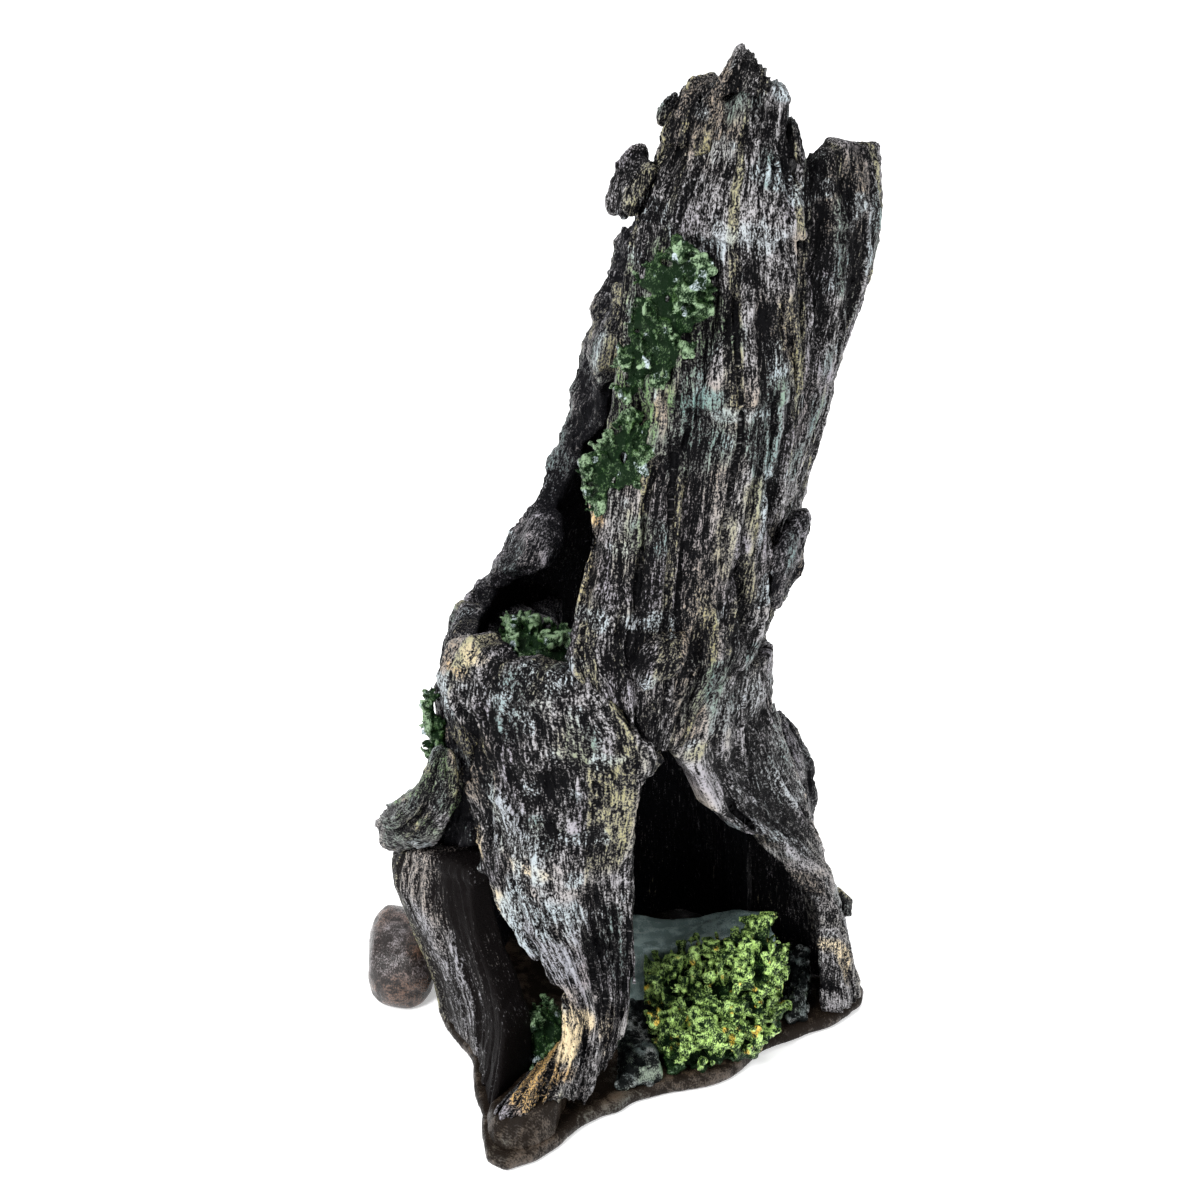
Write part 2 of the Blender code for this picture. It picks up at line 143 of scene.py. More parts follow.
def node_solid(name):
    """The points and triangles of a CAD node, in millimetres."""
    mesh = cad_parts[name].data
    mesh.calc_loop_triangles()
    points = np.empty(len(mesh.vertices) * 3, np.float32)
    triangles = np.empty(len(mesh.loop_triangles) * 3, np.int32)
    mesh.vertices.foreach_get("co", points)
    mesh.loop_triangles.foreach_get("vertices", triangles)
    return points.reshape(-1, 3) / MM, triangles.reshape(-1, 3)


def distance_field(name, voxel, reach):
    """The node's signed distance field out to a reach, and the cell index of its first corner."""
    points, triangles = node_solid(name)
    band = math.ceil(reach / voxel)
    transform = openvdb.createLinearTransform(voxelSize=voxel)
    grid = openvdb.FloatGrid.createLevelSetFromPolygons(points, triangles=triangles, transform=transform,
                                                        halfWidth=band)
    first = np.floor(points.min(0) / voxel).astype(int) - band - 1
    last = np.ceil(points.max(0) / voxel).astype(int) + band + 1
    field = np.full(last - first, band * voxel, np.float32)
    grid.copyToArray(field, ijk=tuple(int(v) for v in first))
    return field, first


def soften(field, rounds):
    """Rounds the solid's corners by averaging neighbouring cells."""
    for _ in range(rounds):
        for axis in range(3):
            field = 0.5 * field + 0.25 * (np.roll(field, 1, axis) + np.roll(field, -1, axis))
    return field


def cell_places(chosen, first, voxel):
    return ((np.argwhere(chosen) + first) * voxel).astype(np.float32)


def draw_surface(field, first, voxel):
    """The points and four-sided faces of the field's zero surface."""
    grid = openvdb.FloatGrid(float(field.max()))
    grid.transform = openvdb.createLinearTransform(voxelSize=voxel)
    grid.copyFromArray(field, ijk=tuple(int(v) for v in first))
    points, quads = grid.convertToQuads(isovalue=0.0)
    return np.asarray(points, np.float32), np.asarray(quads, np.int64)


def main_body(points, quads):
    """Keeps the largest connected piece of a surface, so that no crumb of relief floats free."""
    label = np.arange(len(points))
    while True:
        lowest = label[quads].min(1)
        fresh = label.copy()
        for corner in range(4):
            np.minimum.at(fresh, quads[:, corner], lowest)
        fresh = fresh[fresh]
        if np.array_equal(fresh, label):
            break
        label = fresh
    kept = label == np.bincount(label).argmax()
    places = np.cumsum(kept) - 1
    return points[kept], places[quads[kept[quads].all(1)]]


def new_mesh(name, points, quads):
    mesh = bpy.data.meshes.new(name)
    mesh.vertices.add(len(points))
    mesh.vertices.foreach_set("co", (points * MM).astype(np.float32).ravel())
    mesh.loops.add(quads.size)
    mesh.loops.foreach_set("vertex_index", quads.astype(np.int32).ravel())
    mesh.polygons.add(len(quads))
    mesh.polygons.foreach_set("loop_start", np.arange(0, quads.size, 4, dtype=np.int32))
    mesh.update(calc_edges=True)
    mesh.shade_smooth()
    return mesh


def point_normals(points, quads):
    across = points[quads[:, 2]] - points[quads[:, 0]]
    along = points[quads[:, 3]] - points[quads[:, 1]]
    faces = np.cross(across, along)
    normals = np.zeros_like(points)
    for corner in range(4):
        for axis in range(3):
            normals[:, axis] += np.bincount(quads[:, corner], faces[:, axis], len(points))
    return normals / np.maximum(np.linalg.norm(normals, axis=1, keepdims=True), 1e-9)


def facing_out(points, quads):
    """Turns the faces over if the surface is inside out."""
    corners = points[quads]
    volume = np.einsum("ij,ij->i", corners[:, 0], np.cross(corners[:, 1], corners[:, 2])).sum()
    volume += np.einsum("ij,ij->i", corners[:, 0], np.cross(corners[:, 2], corners[:, 3])).sum()
    return quads if volume > 0 else quads[:, ::-1]


def sampled(field, first, voxel, points):
    """The field's value at points, from the nearest cell."""
    cells = np.rint(points / voxel).astype(int) - first
    cells = np.clip(cells, 0, np.array(field.shape) - 1)
    return field[tuple(cells.T)]


def add_studs(field, first, voxel, centres, axes, radii):
    """Joins flattened ellipsoids, such as leaves and pebbles, to the solid."""
    for centre, frame_axes, radius in zip(centres, axes, radii):
        reach = radius.max() + voxel
        low = np.maximum(np.floor((centre - reach) / voxel).astype(int) - first, 0)
        high = np.minimum(np.ceil((centre + reach) / voxel).astype(int) - first + 1, field.shape)
        if (high <= low).any():
            continue
        block = tuple(slice(a, b) for a, b in zip(low, high))
        places = np.stack(np.meshgrid(*[np.arange(a, b) for a, b in zip(low, high)], indexing="ij"), -1)
        local = ((places + first) * voxel - centre) @ frame_axes.T / radius
        field[block] = np.minimum(field[block], (np.linalg.norm(local, axis=-1) - 1) * radius.min())


# ---------------------------------------------------------------- grain

def axis_x(heights):
    return np.interp(heights, AXIS_HEIGHTS, AXIS_X)


def trunk_angle(points):
    """Angle round the leaning trunk, 0 at the front and a quarter turn at the right."""
    return np.arctan2(points[:, 0] - axis_x(points[:, 2]), AXIS_Y - points[:, 1])


def trunk_distance(points):
    return np.hypot(points[:, 0] - axis_x(points[:, 2]), points[:, 1] - AXIS_Y)


def unwrapped(angle, middle):
    return middle + (angle - middle + math.pi) % (2 * math.pi) - math.pi


def height_share(name):
    low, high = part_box(name)
    return lambda z: (z * MM - low[2]) / (high[2] - low[2])


def eased(values, reach=3):
    """The running mean of a list, over this many values on each side."""
    width = 2 * reach + 1
    return np.convolve(np.pad(values, reach, mode="edge"), np.full(width, 1 / width), mode="valid")


def wall_grain(name):
    """A rule that gives the Where of points on a slab, whose grain follows its two edges."""
    points, _ = node_solid(name)
    angle = trunk_angle(points)
    middle = math.atan2(np.sin(angle).mean(), np.cos(angle).mean())
    angle = unwrapped(angle, middle)
    heights = np.arange(points[:, 2].min(), points[:, 2].max() + WALL_STEP, WALL_STEP)
    left, right = [], []
    for height in heights:
        near = np.abs(points[:, 2] - height) < WALL_REACH
        left.append(angle[near].min() if near.any() else left[-1])
        right.append(angle[near].max() if near.any() else right[-1])
    left, right = eased(left), eased(right)
    width = (right - left).mean() * GRAIN_RADIUS
    up = height_share(name)

    def where(spots):
        turn = unwrapped(trunk_angle(spots), middle)
        edge = np.interp(spots[:, 2], heights, left)
        share = (turn - edge) / (np.interp(spots[:, 2], heights, right) - edge)
        z = spots[:, 2]
        return Where(spots[:, 0], spots[:, 1], z, share * width, z, trunk_distance(spots), share, up(z))

    return where


def root_grain(name):
    """The same for a root: round its own centre line, and along it by height."""
    points, _ = node_solid(name)
    heights = np.arange(points[:, 2].min(), points[:, 2].max() + ROOT_STEP, ROOT_STEP)
    middle = []
    for height in heights:
        near = np.abs(points[:, 2] - height) < ROOT_REACH
        middle.append(points[near, :2].mean(0) if near.any() else middle[-1])
    middle = np.array(middle)
    up = height_share(name)

    def where(spots):
        z = spots[:, 2]
        x = spots[:, 0] - np.interp(z, heights, middle[:, 0])
        y = spots[:, 1] - np.interp(z, heights, middle[:, 1])
        turn = np.arctan2(x, -y)
        share = turn / math.tau + 0.5
        return Where(spots[:, 0], spots[:, 1], z, turn * ROOT_RADIUS, z * ROOT_LENGTHENING,
                     np.hypot(x, y), share, up(z))

    return where


def lump_grain(name):
    """The same for a lump or a pad: round the trunk and up it."""
    up = height_share(name)

    def where(spots):
        z = spots[:, 2]
        angle = trunk_angle(spots)
        return Where(spots[:, 0], spots[:, 1], z, angle * GRAIN_RADIUS, z, trunk_distance(spots), angle,
                     up(z))

    return where


# ---------------------------------------------------------------- relief

def coarse_bark(at):
    """Folds, torn plates and long cracks along the grain, and torn lumps where the bark is crusty."""
    at = swaying(at, 1.6, 13, 26, 1)
    fold = grain_noise(at, 5.8, 60, 2)
    plate = 0.4 * terrace(2.0 * grain_noise(at, 8, 24, 4)) + 0.2
    cracks = np.exp(-(grain_noise(at, 2.4, 42, 3) / 0.13)**2)
    clefts = np.exp(-(grain_noise(at, 9.5, 75, 5) / 0.05)**2)
    torn = ridged(grain_noise(at, 2.5, 7.5, 6)) + 0.8 * space_noise(at, 4.6, 7, tall=6.5)
    grooves = (1 - at.crust) * (0.95 * cracks + 1.3 * clefts)
    return 0.6 * fold + plate - grooves + (0.05 + 0.5 * at.crust) * torn + 0.25


def fine_bark(at):
    """Fibres along the grain, broken into flakes and grit where the bark is crusty."""
    at = swaying(at, 0.5, 4, 9, 8)
    fibres = ridged(grain_noise(at, 1.9, 26, 9)) + 0.8 * ridged(grain_noise(at, 1.15, 15, 10))
    flakes = ridged(grain_noise(at, 1.4, 4.6, 11)) + 0.7 * ridged(grain_noise(at, 0.9, 2.8, 12))
    grit = space_noise(at, 0.9, 13, tall=1.2)
    return 0.28 * (1 - 0.75 * at.crust) * fibres + (0.06 + 0.24 * at.crust) * flakes + 0.14 * grit


def coarse_root(at):
    """The long rounded ribs of a worn root."""
    at = swaying(at, 1.5, 12, 20, 14)
    cracks = np.exp(-(grain_noise(at, 2.6, 50, 16) / 0.12)**2)
    return 0.6 * grain_noise(at, 4.6, 45, 15) - 0.6 * cracks + 0.2


def fine_root(at):
    at = swaying(at, 0.5, 4, 9, 17)
    fibres = ridged(grain_noise(at, 1.8, 24, 18)) + 0.8 * ridged(grain_noise(at, 1.1, 12, 19))
    return 0.18 * fibres + 0.06 * space_noise(at, 0.9, 13, tall=1.2)


def coarse_smooth(at):
    return 0.5 * space_noise(at, 11, 20) + 0.2 * space_noise(at, 4.5, 21)


def fine_smooth(at):
    pits = smoothstep(0.35, 0.6, space_noise(at, 1.4, 23))
    return 0.08 * space_noise(at, 1.7, 22) - 0.1 * pits


def coarse_moss(at):
    """The uneven bed that moss leaves stand on."""
    return 0.7 * space_noise(at, 3.6, 24) + 0.35 * ridged(space_noise(at, 2.2, 25))


def fine_moss(at):
    return 0.12 * space_noise(at, 0.9, 26)


def gouged(at, width, gouges):
    """Clefts at given shares of a slab: (share at the foot, share at the top, from, to, width, depth)."""
    depth = np.zeros_like(at.x)
    wander = 0.9 * grain_noise(at, 6, 9, 27)
    for foot, top, low, high, wide, deep in gouges:
        along = np.clip((at.up - low) / (high - low), 0, 1)
        off = (at.share - foot - (top - foot) * along) * width + wander
        ends = smoothstep(low - 0.02, low + 0.03, at.up) * smoothstep(high + 0.02, high - 0.03, at.up)
        depth -= deep * ends * np.exp(-(off / wide)**2)
    return depth


def lipped(at, height, lips):
    """Layers of bark that end in a ragged lip: (share up, from share, to share, rise, fade)."""
    rise = np.zeros_like(at.x)
    for level, low, high, proud, fade in lips:
        ragged = 2.2 * grain_noise(at, 4.5, 30, 28) + 0.8 * grain_noise(at, 1.7, 30, 29)
        above = (at.up - level) * height + ragged
        side = smoothstep(low - 0.05, low + 0.05, at.share)
        side = side * smoothstep(high + 0.05, high - 0.05, at.share)
        rise += proud * side * smoothstep(-0.4, 0.4, above) * np.exp(-np.maximum(above, 0) / fade)
    return rise


# ---------------------------------------------------------------- paint

NEAR_BLACK = (0.002, 0.002, 0.0025)
GREY = (0.33, 0.32, 0.33)
LILAC = (0.27, 0.25, 0.29)
TAUPE = (0.30, 0.24, 0.18)
PALE_BLUE = (0.38, 0.45, 0.48)
TEAL = (0.10, 0.21, 0.19)
OLIVE = (0.28, 0.26, 0.10)
CREAM = (0.66, 0.53, 0.32)
OCHRE = (0.55, 0.34, 0.11)
BROWN = (0.062, 0.042, 0.028)
ROOT_GREY = (0.27, 0.265, 0.29)
WET_GREY = (0.25, 0.33, 0.32)
RUSSET = (0.15, 0.085, 0.06)
DULL_GREY = (0.19, 0.17, 0.18)
GRIT_DARK = (0.10, 0.13, 0.125)
GRIT_PALE = (0.36, 0.38, 0.37)
MOSS_DARK = (0.004, 0.012, 0.004)
MOSS_GREEN = (0.050, 0.115, 0.022)
MOSS_BRIGHT = (0.12, 0.26, 0.055)
MOSS_BLUE = (0.17, 0.26, 0.14)
MOSS_SHADE = (0.050, 0.085, 0.062)
LICHEN = (0.12, 0.22, 0.07)
MOSS_TIP = (0.44, 0.66, 0.18)
MOSS_YELLOW = (0.75, 0.50, 0.05)


def tinted(count, colour):
    return np.tile(np.asarray(colour, np.float32), (count, 1))


def blended(base, colour, share):
    return base + (np.asarray(colour, np.float32) - base) * np.clip(share, 0, 1)[:, None]


def paint_bark(at):
    """The dry-brush colours of bark: greys with lilac, taupe, olive, teal and pale blue in places."""
    colour = tinted(len(at.x), GREY)
    colour = blended(colour, LILAC, smoothstep(-0.1, 0.5, space_noise(at, 11, 30, tall=15)))
    colour = blended(colour, TAUPE, smoothstep(0.0, 0.5, space_noise(at, 12, 31, tall=19)))
    colour = blended(colour, OLIVE, 0.75 * smoothstep(0.18, 0.48, grain_noise(at, 2.0, 30, 32)))
    colour = blended(colour, TEAL, 0.7 * smoothstep(0.3, 0.6, space_noise(at, 7, 33, tall=10)))
    colour = blended(colour, PALE_BLUE, 0.8 * smoothstep(0.4, 0.62, space_noise(at, 4.5, 34)))
    return colour


def patch_shares(at, width, height, patches):
    """How much each patch of a slab shows: (share, up, reach across, reach up, colour, strength)."""
    ragged = 0.5 * grain_noise(at, 1.3, 6, 35) + 0.4 * grain_noise(at, 3, 4, 36)
    for share, up, wide, tall, tint, strength in patches:
        distance = np.hypot((at.share - share) * width / wide, (at.up - up) * height / tall) + ragged
        yield tint, strength * smoothstep(1.15, 0.55, distance)


# ---------------------------------------------------------------- materials

def shader_node(tree, kind, **values):
    node = tree.nodes.new(kind)
    for name, value in values.items():
        setattr(node, name, value)
    return node


def stretched_noise(tree, vector, stretch):
    """Noise in the grain's own directions, stretched by a scale for each."""
    scaled = shader_node(tree, "ShaderNodeVectorMath", operation="MULTIPLY")
    scaled.inputs[1].default_value = stretch
    tree.links.new(vector, scaled.inputs[0])
    texture = shader_node(tree, "ShaderNodeTexNoise")
    texture.inputs["Scale"].default_value = 1.0
    texture.inputs["Detail"].default_value = 2.0
    texture.inputs["Roughness"].default_value = 0.65
    tree.links.new(scaled.outputs[0], texture.inputs["Vector"])
    return texture.outputs["Fac"]


def weighted_sum(tree, parts, offset=0.0):
    """The sum of (value, weight) pairs, plus an offset."""
    total = None
    for value, weight in parts:
        step = shader_node(tree, "ShaderNodeMath", operation="MULTIPLY_ADD")
        step.inputs[1].default_value = weight
        tree.links.new(value, step.inputs[0])
        if total is None:
            step.inputs[2].default_value = offset
        else:
            tree.links.new(total, step.inputs[2])
        total = step.outputs[0]
    return total


def mapped(tree, value, low, high, out_low=0.0, out_high=1.0):
    step = shader_node(tree, "ShaderNodeMapRange", interpolation_type="SMOOTHSTEP")
    for place, number in ((1, low), (2, high), (3, out_low), (4, out_high)):
        step.inputs[place].default_value = number
    tree.links.new(value, step.inputs[0])
    return step.outputs[0]


def colour_mix(tree, share, first, second):
    mix = shader_node(tree, "ShaderNodeMix", data_type="RGBA")
    tree.links.new(share, mix.inputs["Factor"])
    for socket, colour in (("A", first), ("B", second)):
        if isinstance(colour, tuple):
            mix.inputs[socket].default_value = (*colour, 1.0)
        else:
            tree.links.new(colour, mix.inputs[socket])
    return mix.outputs["Result"]


FIBRE_STRETCH = (2.9, 0.26, 2.9)       # noise bumps per millimetre across, along and through the grain
FLECK_STRETCH = (3.6, 2.3, 3.6)
BUMP_DEPTH = 0.5 * MM


def painted_resin(name, under, glaze, glaze_from=0.4, brush=(0.75, 1.75), fibre=4.2, speckle=4.0,
                  bump=1.0, rough=(0.42, 0.3), shine=(0.04, 0.6)):
    """Dark resin with a thin glaze, dry-brushed on its ridges, fibres and grit, under varnish.

    glaze_from is where the glaze starts, and brush where the dry brushing starts and is full. fibre and
    speckle are how far fibres and flecks break it up. rough and shine go from the hollows to the ridges.
    """
    material = bpy.data.materials.new(name)
    material.use_nodes = True
    tree = material.node_tree
    shader = tree.nodes["Principled BSDF"]
    grain = shader_node(tree, "ShaderNodeAttribute", attribute_name="grain").outputs["Vector"]
    relief = shader_node(tree, "ShaderNodeAttribute", attribute_name="relief").outputs["Fac"]
    paint = shader_node(tree, "ShaderNodeAttribute", attribute_name="paint").outputs["Color"]
    fibres = stretched_noise(tree, grain, FIBRE_STRETCH)
    flecks = stretched_noise(tree, grain, FLECK_STRETCH)
    parts = ((relief, 1.0), (fibres, fibre), (flecks, speckle))
    mask = weighted_sum(tree, parts, -(fibre + speckle) / 2)
    cover = mapped(tree, mask, *brush)
    ground = colour_mix(tree, mapped(tree, mask, glaze_from, glaze_from + 0.6), under, glaze)
    tree.links.new(colour_mix(tree, cover, ground, paint), shader.inputs["Base Color"])
    tree.links.new(mapped(tree, mask, 0.2, 0.9, *rough), shader.inputs["Roughness"])
    tree.links.new(mapped(tree, mask, 0.3, 1.2, *shine), shader.inputs["Specular IOR Level"])
    bumps = shader_node(tree, "ShaderNodeBump")
    bumps.inputs["Strength"].default_value = bump
    bumps.inputs["Distance"].default_value = BUMP_DEPTH
    tree.links.new(weighted_sum(tree, ((fibres, 0.5), (flecks, 0.8))), bumps.inputs["Height"])
    tree.links.new(bumps.outputs["Normal"], shader.inputs["Normal"])
    return material


BARK = painted_resin("dry_brushed_bark", NEAR_BLACK, (0.036, 0.032, 0.032))
# A darker copy of the bark finish, for the pieces that lie back and in shade: painted shade.
SHADED_BARK = painted_resin("dark_bark", (0.003, 0.003, 0.004), (0.024, 0.022, 0.025), brush=(0.85, 2.0))
SMOOTH_ROOT = painted_resin("smooth_root", (0.004, 0.003, 0.003), (0.034, 0.031, 0.032),
                            brush=(0.65, 1.7))
SMOOTH_BASE = painted_resin("smooth_base", (0.010, 0.007, 0.005), (0.024, 0.017, 0.011),
                            brush=(0.55, 1.6), fibre=0.5, speckle=2.2, bump=0.5, shine=(0.05, 0.35))
GREY_STONE = painted_resin("grey_stone", (0.11, 0.155, 0.150), (0.28, 0.37, 0.36),
                           brush=(0.5, 1.6), fibre=0.4, speckle=2.6, bump=0.4, shine=(0.2, 0.5))
BROWN_STONE = painted_resin("brown_stone", (0.010, 0.006, 0.005), (0.050, 0.036, 0.030),
                            brush=(0.4, 1.5), fibre=1.0, speckle=3.0, bump=0.5, rough=(0.34, 0.24),
                            shine=(0.4, 0.6))
GRIT = painted_resin("gravel", (0.003, 0.004, 0.004), (0.030, 0.036, 0.034),
                     brush=(0.5, 1.3), fibre=0.4, speckle=2.0, bump=0.6)
MOSS = painted_resin("moss", MOSS_DARK, (0.012, 0.036, 0.008), glaze_from=0.3,
                     brush=(0.5, 1.25), fibre=0.3, speckle=2.8, bump=0.6)


# ---------------------------------------------------------------- pieces

REACH = 3.2                # how far relief may move the surface
FINE_WEIGHT = 0.22         # how strongly the fine and the coarse relief steer the dry brush
COARSE_WEIGHT = 0.18
HASH_PRIMES = np.array((73856093, 19349663, 83492791))      # give each cell of space its own number


def set_attribute(mesh, name, kind, key, values):
    layer = mesh.attributes.new(name, kind, "POINT")
    layer.data.foreach_set(key, np.ascontiguousarray(values, np.float32).ravel())


def spread_out(points, spacing, random):
    """The numbers of surface points at about this spacing, in a random order."""
    order = random.permutation(len(points))
    cells = np.floor(points[order] / spacing).astype(np.int64)
    keys = np.bitwise_xor.reduce(cells * HASH_PRIMES, axis=1)
    chosen = np.unique(keys, return_index=True)[1]
    return order[chosen]


def leafy(spacing, radii, rise, seed):
    """A rule that covers a surface with small upward leaves."""
    def studs(points, normals):
        random = np.random.default_rng(seed)
        chosen = spread_out(points, spacing, random)
        chosen = chosen[normals[chosen, 2] > -0.5]
        count = len(chosen)
        along = normals[chosen] + np.array((0, 0, rise)) + random.normal(0, 0.38, (count, 3))
        along /= np.linalg.norm(along, axis=1, keepdims=True)
        wide = np.cross(along, random.normal(0, 1, (count, 3)))
        wide /= np.linalg.norm(wide, axis=1, keepdims=True)
        size = np.array(radii) * random.uniform(0.7, 1.25, (count, 1))
        centres = points[chosen] + along * size[:, :1] * 0.55
        return centres, np.stack([along, wide, np.cross(along, wide)], 1), size
    return studs


def pebbly(spacing, radius, seed):
    """A rule that covers a surface with pebbles."""
    def studs(points, normals):
        random = np.random.default_rng(seed)
        chosen = spread_out(points, spacing, random)
        count = len(chosen)
        along = random.normal(0, 1, (count, 3))
        along /= np.linalg.norm(along, axis=1, keepdims=True)
        wide = np.cross(along, random.normal(0, 1, (count, 3)))
        wide /= np.linalg.norm(wide, axis=1, keepdims=True)
        size = np.array((1.25, 1.0, 0.75)) * radius * random.uniform(0.6, 1.35, (count, 1))
        return points[chosen], np.stack([along, wide, np.cross(along, wide)], 1), size
    return studs


def none_at(at):
    return 0.0


def with_crust(at, crust):
    """Fills in how crusty the bark is, from (share of the height, crust) pairs."""
    return at._replace(crust=np.interp(at.up, *zip(*crust)))


def sculpt(name, finish, slot, grain, coarse, fine, paint, voxel=0.6, crust=((0, 0.3), (1, 0.3)),
           swell=0.25, rounds=1, studs=None, extra=none_at, shade=none_at, inner_share=1.0):
    """One CAD node's solid with its relief and paint, as a finished piece.

    swell is how far the whole surface moves out, rounds how often its corners are softened, and studs
    a rule for leaves or pebbles. extra is relief of the piece's own, and shade is painted shade: how much
    of its paint is left out so that it turns dark, while a negative shade adds paint. inner_share is how
    much of the relief the side facing the trunk's axis keeps; the rest is also taken off that side's
    paint, as painted shade inside the hollow.
    """
    where = grain(name)
    solid, first = distance_field(name, voxel, REACH)
    solid = soften(solid, rounds)
    field = solid.copy()
    if studs:
        points, quads = draw_surface(solid, first, voxel)
        quads = facing_out(points, quads)
        add_studs(field, first, voxel, *studs(points, point_normals(points, quads)))
    near = np.abs(field) < REACH - voxel
    spots = cell_places(near, first, voxel)
    at = with_crust(where(spots), crust)
    slopes = np.stack([slope[near] for slope in np.gradient(solid, voxel)], 1)
    facing = outward_share(spots, slopes)
    kept = inner_share + (1 - inner_share) * smoothstep(-0.3, 0.3, facing)
    field[near] -= swell + kept * (coarse(at) + extra(at))
    field[near] = np.maximum(field[near], GROUND - spots[:, 2])
    points, quads = main_body(*draw_surface(field, first, voxel))
    quads = facing_out(points, quads)
    normals = point_normals(points, quads)
    at = with_crust(where(points), crust)._replace(stand=sampled(solid, first, voxel, points))
    outward = outward_share(points, normals)
    high = fine(at) * (inner_share + (1 - inner_share) * smoothstep(-0.3, 0.3, outward))
    high = high * smoothstep(GROUND + 0.1, GROUND + 0.8, points[:, 2])
    mesh = new_mesh(name, points + normals * high[:, None], quads)
    # Painted shade: the side facing the trunk's axis loses paint inside the hollow, and shade takes paint
    # off where the piece is painted in shade. Both lower the relief attribute that steers the dry brush.
    inner_painted_shade = (1 - inner_share) * smoothstep(0.1, -0.4, outward)
    relief = 0.5 + FINE_WEIGHT * scored(high) + COARSE_WEIGHT * scored(at.stand) - inner_painted_shade - shade(at)
    colour = np.concatenate([paint(at), np.ones((len(points), 1))], 1)
    set_attribute(mesh, "relief", "FLOAT", "value", relief)
    set_attribute(mesh, "grain", "FLOAT_VECTOR", "vector", np.stack([at.across, at.along, at.through], 1))
    set_attribute(mesh, "paint", "FLOAT_COLOR", "color", colour)
    mesh.materials.append(finish)
    piece = bpy.data.objects.new(name + "_surface", mesh)
    bpy.context.scene.collection.objects.link(piece)
    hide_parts(name)
    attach(piece, "root")


def outward_share(points, directions):
    """How far a direction points away from the trunk's axis, -1 to 1."""
    angle = trunk_angle(points)
    length = np.maximum(np.linalg.norm(directions, axis=1), 1e-6)
    return (directions[:, 0] * np.sin(angle) - directions[:, 1] * np.cos(angle)) / length


def scored(values):
    """Values as distances from their mean, in standard deviations."""
    return np.clip((values - values.mean()) / (values.std() + 1e-6), -2.5, 2.5)


# Details of the bark slabs. Shares are of a slab's width or height, and all other sizes are millimetres.
# Gouges: (share at the foot, share at the top, from height, to height, width, depth).
# Lips: (height, from share, to share, rise, fade).
# Patches: (share, height, reach across, reach up, colour, strength).
FRONT_GOUGES = (
    (0.90, 0.76, 0.12, 0.30, 1.5, 2.4), (1.0, 0.86, 0.30, 0.43, 1.2, 2.0),
    (0.97, 0.84, 0.88, 0.95, 2.6, 2.4), (0.62, 0.58, 0.05, 0.20, 1.0, 1.4),
    (0.50, 0.55, 0.61, 0.73, 2.2, 2.4), (0.60, 0.72, 0.64, 0.77, 1.4, 2.0),
    (0.92, 0.97, 0.92, 1.0, 1.6, 2.0),
)
FRONT_LIPS = (
    (0.80, 0.5, 1.1, 1.2, 14), (0.545, 0.3, 1.1, 0.8, 12), (0.205, 0.2, 0.42, 0.9, 9),
)
FRONT_PATCHES = (
    # The pale-blue strips along the two upper lips, at heights 0.81 and 0.54, are painted highlights on the
    # lip edges.
    (0.74, 0.81, 8, 3, PALE_BLUE, 0.5), (0.50, 0.92, 5, 4, PALE_BLUE, 0.5),
    (0.48, 0.56, 4, 3, TEAL, 0.8), (0.68, 0.54, 7, 1.6, PALE_BLUE, 0.6),
    (0.84, 0.60, 2.0, 3, PALE_BLUE, 0.6), (0.98, 0.79, 3, 4, TAUPE, 0.8),
    (0.50, 0.49, 10, 6, TEAL, 0.6), (0.02, 0.28, 2.5, 9, OLIVE, 0.7),
    (0.27, 0.31, 4, 8, OLIVE, 0.4), (0.61, 0.20, 2, 12, OLIVE, 0.6), (0.68, 0.32, 2, 9, OLIVE, 0.5),
    (0.79, 0.40, 2, 9, OLIVE, 0.7), (0.83, 0.25, 2, 9, OLIVE, 0.7),
    (0.95, 0.67, 2.5, 12, OLIVE, 0.5), (0.05, 0.36, 2.5, 2.5, OCHRE, 0.9),
    (0.37, 0.17, 2.2, 1.8, OCHRE, 0.9), (0.45, 0.18, 4, 1.6, CREAM, 0.7),
    (0.31, 0.20, 4, 2, PALE_BLUE, 0.6), (0.02, 0.31, 2, 10, CREAM, 0.5),
    (0.44, 0.73, 4, 9, LICHEN, 1.0), (0.29, 0.74, 5, 7, LICHEN, 0.7),
    (0.26, 0.62, 6, 9, LICHEN, 0.8), (0.14, 0.69, 4, 9, MOSS_BLUE, 0.6),
    (0.50, 0.68, 4, 7, LICHEN, 0.7), (0.15, 0.55, 6, 7, LICHEN, 0.9),
    (0.02, 0.44, 4, 9, LICHEN, 0.8), (0.62, 0.66, 3, 3, MOSS_BLUE, 0.6),
    (0.26, 0.10, 6, 5, LILAC, 0.8), (0.63, 0.08, 4, 6, TEAL, 0.4),
)
STUMP_GOUGES = (
    (0.55, 0.62, 0.62, 0.80, 1.6, 1.6), (0.30, 0.20, 0.70, 0.86, 1.2, 1.3),
    (0.72, 0.80, 0.35, 0.55, 1.5, 1.5), (0.55, 0.35, 0.10, 0.30, 1.3, 1.4),
)
STUMP_LIPS = (
    (0.66, 0.25, 0.75, 1.1, 8), (0.84, 0.0, 0.5, 0.9, 7), (0.50, 0.30, 0.9, 0.9, 9),
)
